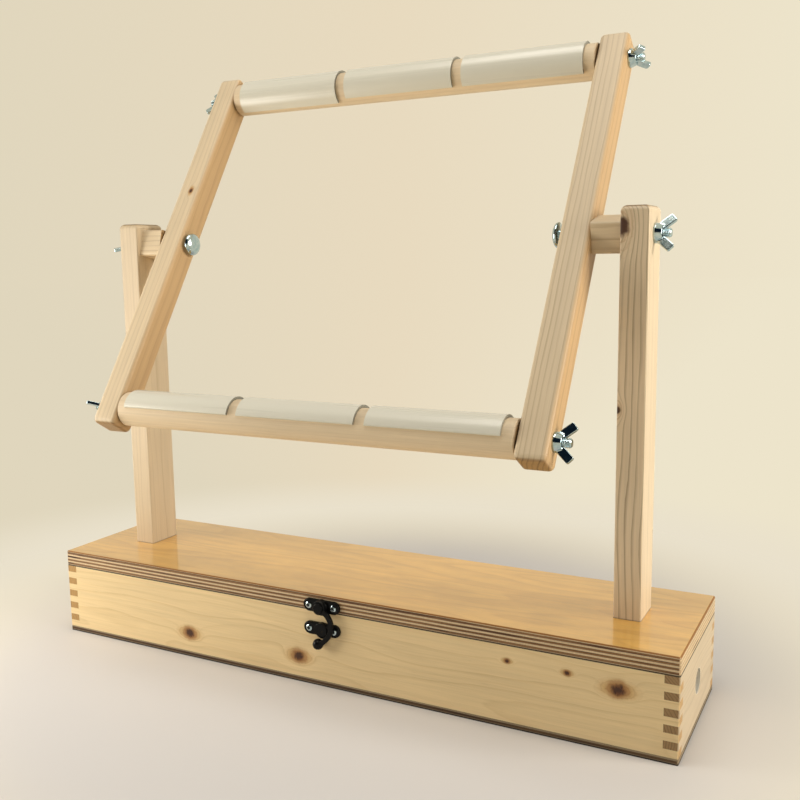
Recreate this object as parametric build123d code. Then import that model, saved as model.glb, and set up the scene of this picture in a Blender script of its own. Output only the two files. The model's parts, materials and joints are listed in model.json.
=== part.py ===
from build123d import *
import os

# Table-top scroll frame for needlework on a storage box.
# Millimetres. X runs along the box, Y to the back, Z up; the origin is the middle of the box's underside.

# Storage box: four finger-jointed boards on a thin plywood bottom, under a plywood lid
BOX_LENGTH = 480.0
BOX_DEPTH = 112.0
WALL_HEIGHT = 50.0
WALL = 9.0
FINGERS = 10
BOTTOM = 4.0
LID = 12.0
CORNER_BEVEL = 0.6
LID_BEVEL = 0.8
SIDE_HOLE_RADIUS = 8.0

# Posts that stand on the lid
POST_WIDTH = 17.5
POST_DEPTH = 29.0
POST_HEIGHT = 256.0
POST_SETBACK = 2.0
POST_EDGE_ROUND = 1.0
POST_TOP_ROUND = 3.5
PIVOT_BELOW_TOP = 16.5

# Scroll frame: two square bars, two rollers, and a block that holds each bar off its post
BAR = 20.0
BAR_PAST_ROLLER = 15.5
BAR_EDGE_ROUND = 2.8
BAR_END_ROUND = 3.6
ROLLER_LENGTH = 299.0
ROLLER_RADIUS = 12.25
ROLLER_EDGE_BEVEL = 0.8
ROLLER_REACH = 139.0
ROLLER_END_GAP = 0.4
SPACER_LENGTH = 19.0
SPACER_EDGE_ROUND = 1.6
SPACER_LEANS = {"left": 13.0, "right": -15.0}
TILT = 32.5

# Fabric clips: open tubes that snap over a roller, spread evenly along it
CLIP_LENGTH = 89.0
CLIP_PLACES = ("left", "middle", "right")
CLIP_WALL = 1.8
CLIP_ARC = 212.0
CLIP_CLEARANCE = 0.1
LOWER_CLIP_EDGES = (19.0, 19.0, 19.0)
UPPER_CLIP_EDGES = (-52.0, -37.0, -37.0)

# Threaded hardware: carriage bolts, hanger bolts and wing nuts of one thread size
THREAD_RADIUS = 3.0
THREAD_CHAMFER = 0.8
THREAD_PAST_WOOD = 10.0
RUNNING_CLEARANCE = 0.08
SEAT_CLEARANCE = 0.02
HANGER_DEPTH = 30.0
BOLT_HEAD_RADIUS = 8.25
BOLT_HEAD_HEIGHT = 3.9
BOLT_NECK = 6.0
BOLT_NECK_LENGTH = 4.0
BOLT_NECK_SUNK = 1.0
HUB_RADIUS = 6.3
HUB_TOP_RADIUS = 4.8
HUB_HEIGHT = 5.0
HUB_RIM = 1.2
WING_ROOT = (4.4, 3.8)
WING_TIP = (10.6, 10.8)
WING_WIDTH = 5.4
WING_THICKNESS = 2.4
WING_ROUND = 1.2
ROLLER_NUT_TURNS = {"lower_left": 82.0, "lower_right": 5.0, "upper_left": 10.0, "upper_right": 98.0}
PIVOT_NUT_TURNS = {"left": 40.0, "right": 5.0}
POST_NUT_TURN = 90.0

# Butt hinges on the back of the box
HINGE_PLACE = 150.0
HINGE_WIDTH = 30.0
HINGE_LEAF = 1.0
HINGE_LEAF_REACH = 10.5
HINGE_KNUCKLE_RADIUS = 2.2
HINGE_KNUCKLE_GAP = 0.3
HINGE_PIN_RADIUS = 1.1
HINGE_SCREW_SPACING = 18.0
HINGE_SCREW_REACH = 6.6
HINGE_SCREW_LENGTH = 7.0

# Swan-hook latch on the front of the box
LATCH_PLATE = 2.4
LATCH_LOBE_RADIUS = 4.5
LATCH_BUMP_RADIUS = 5.6
LATCH_BUMP_DROP = 1.0
LATCH_SCREW_SPACING = 19.6
LATCH_HOOK_PLATE_BELOW_LID_TOP = 7.6
LATCH_PLATE_SPACING = 16.4
LATCH_STAND_OFF = 1.3
LATCH_HOOK_GAP = 0.3
LATCH_HOOK = 2.2
LATCH_ARM = 3.4
LATCH_ARM_PASSING_GAP = 2.2
LATCH_EYE_RADIUS = 4.8
LATCH_RIVET_RADIUS = 2.4
LATCH_RIVET_HEAD_RADIUS = 3.6
LATCH_RIVET_HEAD = 1.0
LATCH_BALL_RADIUS = 3.8
LATCH_BALL_GAP = 0.4
LATCH_EDGE_BEVEL = 0.6
LATCH_SCREW_LENGTH = 7.0

# Small wood screws
SCREW_RADIUS = 1.1
SCREW_HEAD_RADIUS = 2.3
SCREW_HEAD_HEIGHT = 0.8

# Places that follow from the sizes
SEAM_Z = BOTTOM + WALL_HEIGHT
LID_TOP = SEAM_Z + LID
FRONT_Y = -BOX_DEPTH / 2
BACK_Y = BOX_DEPTH / 2
PIVOT_Z = LID_TOP + POST_HEIGHT - PIVOT_BELOW_TOP
BAR_INNER_X = ROLLER_LENGTH / 2 + ROLLER_END_GAP
BAR_OUTER_X = BAR_INNER_X + BAR
BAR_REACH = ROLLER_REACH + BAR_PAST_ROLLER
POST_INNER_X = BAR_OUTER_X + SPACER_LENGTH
POST_OUTER_X = POST_INNER_X + POST_WIDTH
POST_X = POST_INNER_X + POST_WIDTH / 2
HINGE_Y = BACK_Y + HINGE_KNUCKLE_RADIUS + HINGE_KNUCKLE_GAP
CLIP_SPACE = (ROLLER_LENGTH - len(CLIP_PLACES) * CLIP_LENGTH) / (len(CLIP_PLACES) + 1)
LATCH_PIVOT_Z = LID_TOP - LATCH_HOOK_PLATE_BELOW_LID_TOP
LATCH_CATCH_Z = LATCH_PIVOT_Z - LATCH_PLATE_SPACING
LATCH_HOOK_Y = FRONT_Y - LATCH_PLATE - LATCH_STAND_OFF
RUNNING_BORE = THREAD_RADIUS + RUNNING_CLEARANCE
SEAT_BORE = THREAD_RADIUS + SEAT_CLEARANCE
FRAME = Pos(0, POST_SETBACK, PIVOT_Z) * Rot(-TILT, 0, 0)
SIDES = {"left": -1, "right": 1}
LEVELS = {"lower": -1, "upper": 1}


def facing_side(side):
    """Turn local +Z to point out of the left (-1) or right (+1) side."""
    return Rot(0, 90 * side, 0)


def facing_front():
    return Rot(90, 0, 0)


def facing_back():
    return Rot(-90, 0, 0)


def block(low, high):
    """A box between two corners."""
    size = [b - a for a, b in zip(low, high)]
    middle = [(a + b) / 2 for a, b in zip(low, high)]
    return Pos(*middle) * Box(*size)


def rod(radius, z_low, z_high):
    """A round bar along local Z."""
    return Pos(0, 0, z_low) * Cylinder(radius, z_high - z_low, align=(Align.CENTER, Align.CENTER, Align.MIN))


# Storage box


def finger_slots(rows, at_front_and_back):
    """The blocks that a board loses to the fingers of the boards it meets, at both of its ends."""
    pitch = WALL_HEIGHT / FINGERS
    slots = []
    for row in rows:
        z_low = BOTTOM + row * pitch
        for sign in (-1, 1):
            if at_front_and_back:
                centre = Pos(0, sign * (BOX_DEPTH - WALL) / 2, z_low + pitch / 2)
                slots.append(centre * Box(BOX_LENGTH, WALL, pitch))
            else:
                centre = Pos(sign * (BOX_LENGTH - WALL) / 2, 0, z_low + pitch / 2)
                slots.append(centre * Box(WALL, BOX_DEPTH, pitch))
    return slots


def rounded_outline():
    """The closed outline of the four boards, with its upright corners bevelled."""
    body = block((-BOX_LENGTH / 2, FRONT_Y, BOTTOM), (BOX_LENGTH / 2, BACK_Y, SEAM_Z))
    return chamfer(body.edges().filter_by(Axis.Z), CORNER_BEVEL)


def long_panel(sign):
    """Front (-1) or back (+1) board; its fingers fill the even rows, counted from below."""
    outer = sign * BOX_DEPTH / 2
    inner = outer - sign * WALL
    low = (-BOX_LENGTH / 2, min(outer, inner), BOTTOM)
    high = (BOX_LENGTH / 2, max(outer, inner), SEAM_Z)
    board = block(low, high) - finger_slots(range(1, FINGERS, 2), at_front_and_back=False)
    board = board & rounded_outline()
    if sign < 0:
        board -= latch_screw_holes(LATCH_CATCH_Z)
    else:
        board -= hinge_screw_holes(-1)
    return board


def end_panel(side):
    """Left or right board; its fingers fill the odd rows. The right one has a round hole."""
    outer = side * BOX_LENGTH / 2
    inner = outer - side * WALL
    low = (min(outer, inner), FRONT_Y, BOTTOM)
    high = (max(outer, inner), BACK_Y, SEAM_Z)
    board = block(low, high) - finger_slots(range(0, FINGERS, 2), at_front_and_back=True)
    board = board & rounded_outline()
    if side > 0:
        hole = rod(SIDE_HOLE_RADIUS, -WALL, WALL)
        board -= Pos(outer, 0, BOTTOM + WALL_HEIGHT / 2) * facing_side(side) * hole
    return board


def bottom_panel():
    body = block((-BOX_LENGTH / 2, FRONT_Y, 0), (BOX_LENGTH / 2, BACK_Y, BOTTOM))
    return chamfer(body.edges().filter_by(Axis.Z), CORNER_BEVEL)


def lid_panel():
    body = block((-BOX_LENGTH / 2, FRONT_Y, SEAM_Z), (BOX_LENGTH / 2, BACK_Y, LID_TOP))
    body = chamfer(body.edges().filter_by(Axis.Z) + body.faces().sort_by(Axis.Z)[-1].edges(), LID_BEVEL)
    for side in SIDES.values():
        body -= Pos(side * POST_X, POST_SETBACK, 0) * rod(SEAT_BORE, SEAM_Z, LID_TOP)
    body -= latch_screw_holes(LATCH_PIVOT_Z)
    body -= hinge_screw_holes(1)
    return body


# Posts


def post(side):
    body = block((-POST_WIDTH / 2, -POST_DEPTH / 2, 0), (POST_WIDTH / 2, POST_DEPTH / 2, POST_HEIGHT))
    body = fillet(body.edges().filter_by(Axis.Z), POST_EDGE_ROUND)
    body = fillet(body.faces().sort_by(Axis.Z)[-1].edges(), POST_TOP_ROUND)
    pivot_hole = rod(RUNNING_BORE, -POST_WIDTH, POST_WIDTH)
    body -= Pos(0, 0, POST_HEIGHT - PIVOT_BELOW_TOP) * facing_side(side) * pivot_hole
    body -= hanger_hole()
    return Pos(side * POST_X, POST_SETBACK, LID_TOP) * body


# Scroll frame


def side_bar(side):
    """Square bar with holes for the two roller studs and a square-necked seat for the pivot bolt."""
    body = block((-BAR / 2, -BAR / 2, -BAR_REACH), (BAR / 2, BAR / 2, BAR_REACH))
    body = fillet(body.edges().filter_by(Axis.Z), BAR_EDGE_ROUND)
    body = fillet(body.faces().filter_by(Axis.Z).edges(), BAR_END_ROUND)
    stud_hole = facing_side(side) * rod(RUNNING_BORE, -BAR, BAR)
    for level in LEVELS.values():
        body -= Pos(0, 0, level * ROLLER_REACH) * stud_hole
    body -= facing_side(side) * rod(SEAT_BORE, -BAR, BAR)
    neck = BOLT_NECK + 2 * SEAT_CLEARANCE
    neck_seat = block((-neck / 2, -neck / 2, 0), (neck / 2, neck / 2, BOLT_NECK_SUNK + SEAT_CLEARANCE))
    body -= Pos(-side * BAR / 2, 0, 0) * facing_side(side) * neck_seat
    return FRAME * Pos(side * (BAR_INNER_X + BAR / 2), 0, 0) * body


def spacer_block(side, lean):
    """Square block, clamped on the pivot bolt so that it leans back by an angle of its own."""
    body = Box(SPACER_LENGTH, BAR, BAR)
    body = fillet(body.edges().filter_by(Axis.X), SPACER_EDGE_ROUND)
    body -= facing_side(side) * rod(SEAT_BORE, -SPACER_LENGTH, SPACER_LENGTH)
    return Pos(side * (BAR_OUTER_X + SPACER_LENGTH / 2), POST_SETBACK, PIVOT_Z) * Rot(-lean, 0, 0) * body


def roller(level):
    body = rod(ROLLER_RADIUS, -ROLLER_LENGTH / 2, ROLLER_LENGTH / 2)
    body = chamfer(body.edges(), ROLLER_EDGE_BEVEL)
    body -= Pos(0, 0, ROLLER_LENGTH / 2) * Rot(180, 0, 0) * hanger_hole()
    body -= Pos(0, 0, -ROLLER_LENGTH / 2) * hanger_hole()
    return FRAME * Pos(0, 0, level * ROLLER_REACH) * facing_side(1) * body


def clip(level, place, front_edge):
    """Open tube round a roller, place steps from its middle.

    Its front edge lies front_edge degrees above the level that faces forward.
    """
    inner = ROLLER_RADIUS + CLIP_CLEARANCE
    outer = inner + CLIP_WALL
    mouth_half = (360 - CLIP_ARC) / 2
    reach = 5 * outer
    far = [Vector(reach, 0).rotate(Axis.Z, sign * mouth_half) for sign in (-1, 1)]
    ring = Circle(outer) - Circle(inner) - make_face(Polyline((0, 0), far[0], far[1], close=True))
    for sign in (-1, 1):
        lip = Vector((inner + outer) / 2, 0).rotate(Axis.Z, sign * mouth_half)
        ring += Pos(lip.X, lip.Y) * Circle(CLIP_WALL / 2)
    body = extrude(ring, CLIP_LENGTH / 2, both=True)
    # The mouth starts out facing local +X, which becomes straight down
    turned = facing_side(1) * Rot(0, 0, 90 - CLIP_ARC / 2 - front_edge) * body
    centre = (FRAME * Pos(0, 0, level * ROLLER_REACH)).position
    return Pos(centre) * Pos(place * (CLIP_LENGTH + CLIP_SPACE), 0, 0) * turned


# Threaded hardware


def hanger_hole():
    """Blind hole up local +Z for the pointed half of a hanger bolt."""
    return rod(SEAT_BORE, 0, HANGER_DEPTH)


def hanger_bolt(grip):
    """Stud with its nut face at local zero: it crosses the grip below it and is sunk in the wood beyond."""
    top = THREAD_PAST_WOOD
    foot = -grip - HANGER_DEPTH
    body = rod(THREAD_RADIUS, foot, top)
    return chamfer(body.edges().sort_by(Axis.Z)[-1], THREAD_CHAMFER)


def carriage_bolt(grip):
    """Dome head and square neck at the far end of the grip, and a thread that ends above local zero."""
    cap_radius = (BOLT_HEAD_RADIUS**2 + BOLT_HEAD_HEIGHT**2) / (2 * BOLT_HEAD_HEIGHT)
    dome = Pos(0, 0, cap_radius - BOLT_HEAD_HEIGHT) * Sphere(cap_radius)
    dome &= rod(BOLT_HEAD_RADIUS, -BOLT_HEAD_HEIGHT, 0)
    neck = block((-BOLT_NECK / 2, -BOLT_NECK / 2, 0), (BOLT_NECK / 2, BOLT_NECK / 2, BOLT_NECK_LENGTH))
    shank = rod(THREAD_RADIUS, 0, grip + THREAD_PAST_WOOD)
    shank = chamfer(shank.edges().sort_by(Axis.Z)[-1], THREAD_CHAMFER)
    return Pos(0, 0, -grip) * (dome + neck + shank)


def wing_nut():
    """Coned hub with a flat foot at local zero and two flat wings that rise outwards."""
    foot = rod(HUB_RADIUS, 0, HUB_RIM)
    cone = Pos(0, 0, HUB_RIM) * Cone(
        HUB_RADIUS, HUB_TOP_RADIUS, HUB_HEIGHT - HUB_RIM, align=(Align.CENTER, Align.CENTER, Align.MIN)
    )
    root = Vector(*WING_ROOT)
    tip = Vector(*WING_TIP)
    half = (tip - root).normalized().rotate(Axis.Z, -90) * (WING_WIDTH / 2)
    outline = make_face(Polyline(root + half, tip + half, tip - half, root - half, close=True))
    far_corners = outline.vertices().sort_by(Axis.Y)[-1:] + outline.vertices().sort_by(Axis.X)[-1:]
    outline = fillet(far_corners, WING_ROUND)
    wing = extrude(Rot(90, 0, 0) * outline, WING_THICKNESS / 2, both=True)
    return foot + cone + wing + Rot(0, 0, 180) * wing - rod(RUNNING_BORE, -HUB_HEIGHT, 4 * HUB_HEIGHT)


def roller_stud(level, side):
    grip = BAR + ROLLER_END_GAP
    return FRAME * Pos(side * BAR_OUTER_X, 0, level * ROLLER_REACH) * facing_side(side) * hanger_bolt(grip)


def roller_wing_nut(level, side, turn):
    place = FRAME * Pos(side * BAR_OUTER_X, 0, level * ROLLER_REACH) * facing_side(side)
    return place * Rot(0, 0, turn) * wing_nut()


def pivot_bolt(side):
    grip = POST_OUTER_X - BAR_INNER_X + BOLT_NECK_LENGTH - BOLT_NECK_SUNK
    return FRAME * Pos(side * POST_OUTER_X, 0, 0) * facing_side(side) * carriage_bolt(grip)


def pivot_wing_nut(side, turn):
    return FRAME * Pos(side * POST_OUTER_X, 0, 0) * facing_side(side) * Rot(0, 0, turn) * wing_nut()


def post_stud(side):
    return Pos(side * POST_X, POST_SETBACK, SEAM_Z) * Rot(180, 0, 0) * hanger_bolt(LID)


def post_wing_nut(side):
    return Pos(side * POST_X, POST_SETBACK, SEAM_Z) * Rot(180, 0, 0) * Rot(0, 0, POST_NUT_TURN) * wing_nut()


def wood_screw(length):
    """Pan-headed screw that seats at local zero, with its plain shank downwards."""
    return rod(SCREW_RADIUS, -length, 0) + rod(SCREW_HEAD_RADIUS, 0, SCREW_HEAD_HEIGHT)


def screw_hole(length):
    return rod(SCREW_RADIUS + SEAT_CLEARANCE, -length, 0)


# Hinges


def hinge_screw_places(level):
    """Outer leaf face of every screw on the lid's leaves (+1) or the box's leaves (-1)."""
    places = []
    for side in SIDES.values():
        for end in (-1, 1):
            x = side * HINGE_PLACE + end * HINGE_SCREW_SPACING / 2
            z = SEAM_Z + level * HINGE_SCREW_REACH
            places.append(Pos(x, BACK_Y + HINGE_LEAF, z) * facing_back())
    return places


def hinge_screw_holes(level):
    return [place * screw_hole(HINGE_SCREW_LENGTH) for place in hinge_screw_places(level)]


def hinge_leaf(side, level):
    """Flat leaf with its share of the knuckle: the middle for the lid (+1), both ends for the box (-1)."""
    third = HINGE_WIDTH / 3
    gap = HINGE_KNUCKLE_GAP / 2
    if level > 0:
        knuckles = [(-third / 2 + gap, third / 2 - gap)]
    else:
        knuckles = [(-HINGE_WIDTH / 2, -third / 2 - gap), (third / 2 + gap, HINGE_WIDTH / 2)]
    axis_y = HINGE_KNUCKLE_RADIUS + HINGE_KNUCKLE_GAP
    near = HINGE_KNUCKLE_RADIUS + HINGE_KNUCKLE_GAP
    body = block((-HINGE_WIDTH / 2, 0, near), (HINGE_WIDTH / 2, HINGE_LEAF, HINGE_LEAF_REACH))
    for x_low, x_high in knuckles:
        body += block((x_low, 0, 0), (x_high, HINGE_LEAF, near))
        body += Pos(0, axis_y, 0) * facing_side(1) * rod(HINGE_KNUCKLE_RADIUS, x_low, x_high)
    bore = HINGE_PIN_RADIUS + (RUNNING_CLEARANCE if level > 0 else SEAT_CLEARANCE)
    body -= Pos(0, axis_y, 0) * facing_side(1) * rod(bore, -HINGE_WIDTH, HINGE_WIDTH)
    for end in (-1, 1):
        hole = rod(SCREW_RADIUS + SEAT_CLEARANCE, -HINGE_LEAF, HINGE_LEAF)
        body -= Pos(end * HINGE_SCREW_SPACING / 2, HINGE_LEAF, HINGE_SCREW_REACH) * facing_back() * hole
    if level < 0:
        body = mirror(body, Plane.XY)
    return Pos(side * HINGE_PLACE, BACK_Y, SEAM_Z) * body


def hinge_pin(side):
    pin = facing_side(1) * rod(HINGE_PIN_RADIUS, -HINGE_WIDTH / 2, HINGE_WIDTH / 2)
    return Pos(side * HINGE_PLACE, HINGE_Y, SEAM_Z) * pin


# Latch


def latch_screw_places(z):
    half = LATCH_SCREW_SPACING / 2
    return [Pos(end * half, FRONT_Y - LATCH_PLATE, z) * facing_front() for end in (-1, 1)]


def latch_screw_holes(z):
    return [place * screw_hole(LATCH_SCREW_LENGTH) for place in latch_screw_places(z)]


def latch_plate(z, boss_radius, boss_height):
    """Plate with two round lobes and a bump at its lower edge, and a round boss in its middle."""
    outline = SlotCenterToCenter(LATCH_SCREW_SPACING, 2 * LATCH_LOBE_RADIUS)
    outline += Pos(0, -LATCH_BUMP_DROP) * Circle(LATCH_BUMP_RADIUS)
    for end in (-1, 1):
        outline -= Pos(end * LATCH_SCREW_SPACING / 2, 0) * Circle(SCREW_RADIUS + SEAT_CLEARANCE)
    body = extrude(outline, LATCH_PLATE)
    rim = body.faces().sort_by(Axis.Z)[-1].outer_wire().edges()
    body = chamfer(rim, LATCH_EDGE_BEVEL)
    body += rod(boss_radius, 0, LATCH_PLATE + boss_height)
    return Pos(0, FRONT_Y, z) * facing_front() * body


def latch_hook_plate():
    """Plate on the lid's edge. A shouldered rivet carries the hook clear of the screw heads."""
    plate = latch_plate(LATCH_PIVOT_Z, LATCH_EYE_RADIUS, LATCH_STAND_OFF - LATCH_HOOK_GAP)
    neck_end = LATCH_PLATE + LATCH_STAND_OFF + LATCH_HOOK + LATCH_HOOK_GAP
    rivet = rod(LATCH_RIVET_RADIUS, 0, neck_end)
    head = rod(LATCH_RIVET_HEAD_RADIUS, neck_end, neck_end + LATCH_RIVET_HEAD)
    rivet += chamfer(head.edges().sort_by(Axis.Z)[-1], LATCH_RIVET_HEAD / 2)
    return plate + Pos(0, FRONT_Y, LATCH_PIVOT_Z) * facing_front() * rivet


def latch_catch_plate():
    """Plate on the box's front. Its lug ends just behind the hook."""
    return latch_plate(LATCH_CATCH_Z, LATCH_EYE_RADIUS, LATCH_STAND_OFF - LATCH_HOOK_GAP)


def latch_hook():
    """Flat swan-neck hook: an eye, an arm that passes the lug on its right, and a ball to push."""
    right = LATCH_EYE_RADIUS + LATCH_ARM_PASSING_GAP + LATCH_ARM / 2
    catch = -LATCH_PLATE_SPACING
    lowest = catch - LATCH_EYE_RADIUS - LATCH_ARM
    neck = ThreePointArc((LATCH_ARM / 2, -LATCH_ARM / 2), (right, catch / 2), (right, catch))
    tail = TangentArc((right, catch), (-LATCH_ARM / 2, lowest - LATCH_ARM / 2), tangent=neck % 1)
    outline = Circle(LATCH_EYE_RADIUS) + SlotArc(neck, LATCH_ARM) + SlotArc(tail, LATCH_ARM)
    outline -= Circle(LATCH_RIVET_RADIUS + RUNNING_CLEARANCE)
    body = extrude(outline, LATCH_HOOK)
    end = tail @ 1
    ball_height = LATCH_BALL_RADIUS + LATCH_BALL_GAP - LATCH_PLATE - LATCH_STAND_OFF
    # The ball's poles lie in the plane of the hook
    body += Pos(end.X, end.Y, ball_height) * Rot(90, 0, 0) * Sphere(LATCH_BALL_RADIUS)
    return Pos(0, LATCH_HOOK_Y, LATCH_PIVOT_Z) * facing_front() * body


def all_nodes():
    """Every named sub-part in its place."""
    nodes = {
        "box_front_panel": long_panel(-1),
        "box_back_panel": long_panel(1),
        "box_left_panel": end_panel(-1),
        "box_right_panel": end_panel(1),
        "box_bottom": bottom_panel(),
        "lid_panel": lid_panel(),
        "latch_hook_plate": latch_hook_plate(),
        "latch_catch_plate": latch_catch_plate(),
        "latch_hook": latch_hook(),
    }
    lid_hinge_screws = [place * wood_screw(HINGE_SCREW_LENGTH) for place in hinge_screw_places(1)]
    box_hinge_screws = [place * wood_screw(HINGE_SCREW_LENGTH) for place in hinge_screw_places(-1)]
    hook_screws = [place * wood_screw(LATCH_SCREW_LENGTH) for place in latch_screw_places(LATCH_PIVOT_Z)]
    catch_screws = [place * wood_screw(LATCH_SCREW_LENGTH) for place in latch_screw_places(LATCH_CATCH_Z)]
    nodes["hinge_lid_screws"] = Compound(lid_hinge_screws)
    nodes["hinge_box_screws"] = Compound(box_hinge_screws)
    nodes["latch_hook_screws"] = Compound(hook_screws)
    nodes["latch_catch_screws"] = Compound(catch_screws)
    for name, side in SIDES.items():
        nodes[f"{name}_post"] = post(side)
        nodes[f"{name}_post_stud"] = post_stud(side)
        nodes[f"{name}_post_wing_nut"] = post_wing_nut(side)
        nodes[f"{name}_side_bar"] = side_bar(side)
        nodes[f"{name}_spacer_block"] = spacer_block(side, SPACER_LEANS[name])
        nodes[f"{name}_pivot_bolt"] = pivot_bolt(side)
        nodes[f"{name}_pivot_wing_nut"] = pivot_wing_nut(side, PIVOT_NUT_TURNS[name])
        nodes[f"{name}_hinge_lid_leaf"] = hinge_leaf(side, 1)
        nodes[f"{name}_hinge_box_leaf"] = hinge_leaf(side, -1)
        nodes[f"{name}_hinge_pin"] = hinge_pin(side)
    clip_edges = {"lower": LOWER_CLIP_EDGES, "upper": UPPER_CLIP_EDGES}
    for level_name, level in LEVELS.items():
        nodes[f"{level_name}_roller"] = roller(level)
        for side_name, side in SIDES.items():
            corner = f"{level_name}_{side_name}"
            nodes[f"{corner}_stud"] = roller_stud(level, side)
            nodes[f"{corner}_wing_nut"] = roller_wing_nut(level, side, ROLLER_NUT_TURNS[corner])
        for number, place_name in enumerate(CLIP_PLACES):
            place = number - (len(CLIP_PLACES) - 1) / 2
            nodes[f"{level_name}_{place_name}_clip"] = clip(level, place, clip_edges[level_name][number])
    return nodes


os.makedirs("parts", exist_ok=True)
for node, shape in all_nodes().items():
    export_step(shape, f"parts/{node}.step")
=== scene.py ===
import json
from math import atan2, cos, pi, radians, sin, tau

import bmesh
import bpy
from mathutils import Euler, Matrix, Vector


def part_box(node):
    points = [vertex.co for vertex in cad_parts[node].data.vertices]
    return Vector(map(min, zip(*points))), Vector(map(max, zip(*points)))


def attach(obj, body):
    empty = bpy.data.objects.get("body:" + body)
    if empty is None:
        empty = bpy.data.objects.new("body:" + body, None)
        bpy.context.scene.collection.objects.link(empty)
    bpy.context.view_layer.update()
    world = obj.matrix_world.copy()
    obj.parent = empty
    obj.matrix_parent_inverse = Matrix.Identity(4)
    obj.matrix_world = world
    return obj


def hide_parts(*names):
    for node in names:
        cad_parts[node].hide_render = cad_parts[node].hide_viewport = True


# Looks of a table-top scroll frame on a storage box: finishes, threaded hardware, light and camera.
# Metres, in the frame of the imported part; finishes work in millimetres of each board's own frame.
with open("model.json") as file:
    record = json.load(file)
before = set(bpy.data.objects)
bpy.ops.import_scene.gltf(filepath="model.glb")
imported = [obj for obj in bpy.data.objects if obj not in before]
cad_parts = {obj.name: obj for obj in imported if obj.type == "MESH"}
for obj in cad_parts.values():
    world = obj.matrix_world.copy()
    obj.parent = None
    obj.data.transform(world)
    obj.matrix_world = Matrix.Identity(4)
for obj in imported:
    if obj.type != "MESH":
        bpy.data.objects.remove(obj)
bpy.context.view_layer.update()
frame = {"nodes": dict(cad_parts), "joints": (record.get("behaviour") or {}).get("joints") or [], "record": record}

MM = 0.001
JOINTS = {joint["name"]: joint for joint in frame["joints"]}
BODY_OF = {node: body for body, nodes in frame["record"]["behaviour"]["bodies"].items() for node in nodes}
SLOT_OF = {row["node"]: row["material_slot"] for row in frame["record"]["subparts"]}
BAR_LINE = Vector(JOINTS["upper_roller_turn"]["pos_m"]) - Vector(JOINTS["frame_tilt"]["pos_m"])
TILT = atan2(BAR_LINE.y, BAR_LINE.z)
SIDES = {"left": -1, "right": 1}
LEVELS = ("lower", "upper")

# Camera, its turn in degrees and its lens in millimetres
CAMERA_PLACE = (0.339594, -0.585538, 0.292550)
CAMERA_TURN = (81.5868, 0.8364, 27.5217)
CAMERA_LENS = 43.0381
SENSOR = 36.0
PICTURE_RIGHT = (cos(radians(CAMERA_TURN[2])), sin(radians(CAMERA_TURN[2])), 0.0)

# Lamps: place, aim, side, and share of full level at the aim
LAMPS = {
    "key": ((1.65, 0.1, 0.62), (0.2, 0, 0.25), 0.8, 1.12),
    "fill": ((-0.55, -0.3, 0.22), (-0.2, 0, 0.2), 0.35, 1.24),
    "top": ((-0.05, -0.25, 1.5), (0, 0, 0.1), 0.8, 0.48),
}
LAMP_COLOUR = (1.0, 0.955, 0.88)
FLAG_CORNERS = ((-1.5, -0.8, 1.5), (1.4, -0.8, 1.5), (1.6, -2.2, 0.45), (-1.7, -2.2, 0.45))

# Floor: the fades run between two distances from the object
FLOOR_RADIUS = 12.0
TONE_FADE = (0.22, 0.40)
GLOW_FADE = (0.24, 0.44)
CREAM_FADE = (0.42, 0.62)
BACKDROP_SPAN = 0.4

# Colours
PINE = {"early": (0.665, 0.53, 0.35), "late": (0.43, 0.31, 0.18)}
RINGED_PINE = {"early": (0.69, 0.555, 0.38), "late": (0.30, 0.22, 0.135)}
BOX_PINE = {"early": (0.77, 0.585, 0.315), "late": (0.54, 0.365, 0.155)}
DOWEL = {"early": (0.74, 0.59, 0.395), "late": (0.62, 0.47, 0.29)}
END_GRAIN = (0.52, 0.40, 0.26)
# Warm tone, partly painted shade, on the side bars' right faces
HEARTWOOD_AND_SHADE = (0.78, 0.64, 0.48)
# Dark knot core, also used as painted shade in plywood voids
KNOT_CORE_AND_VOID_SHADE = (0.05, 0.016, 0.008)
KNOT_BROWN = (0.30, 0.115, 0.03)
KNOT_RING = (0.58, 0.335, 0.105)
VENEER = {"pale": (0.72, 0.40, 0.085), "deep": (0.49, 0.24, 0.04)}
VENEER_RIM = (0.27, 0.12, 0.03)
PLY_SIDE = (0.72, 0.54, 0.32)
PLY_END = (0.29, 0.15, 0.062)
PLY_DEEP = (0.12, 0.055, 0.026)
# Dark glue between plies, also used as painted shade in open joints
GLUE_LINE_AND_GAP_SHADE = (0.045, 0.02, 0.011)
PLASTIC = (0.71, 0.68, 0.57)
# Painted shade on the clips' end faces
PLASTIC_END_SHADE = (0.28, 0.27, 0.22)
ZINC = (0.40, 0.53, 0.59)
ZINC_BLOOM = (0.54, 0.64, 0.67)
# Painted shade in the bottom of the screw recesses
RECESS_SHADE = (0.03, 0.032, 0.034)
BLACK = (0.005, 0.005, 0.005)
WORN_EDGE = (0.05, 0.042, 0.035)
# Painted light on the wall of the side panel's hole
HOLE_WALL_LIGHT = (0.85, 0.80, 0.68)
FLOOR = (0.655, 0.625, 0.595)
FLOOR_FAR = (0.82, 0.75, 0.60)
ROOM = (0.20, 0.20, 0.195)
FLAG = (0.012, 0.04, 0.085)
BACKDROP = {"left": (0.745, 0.672, 0.509), "middle": (0.807, 0.701, 0.521), "right": (0.847, 0.776, 0.597)}

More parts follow.
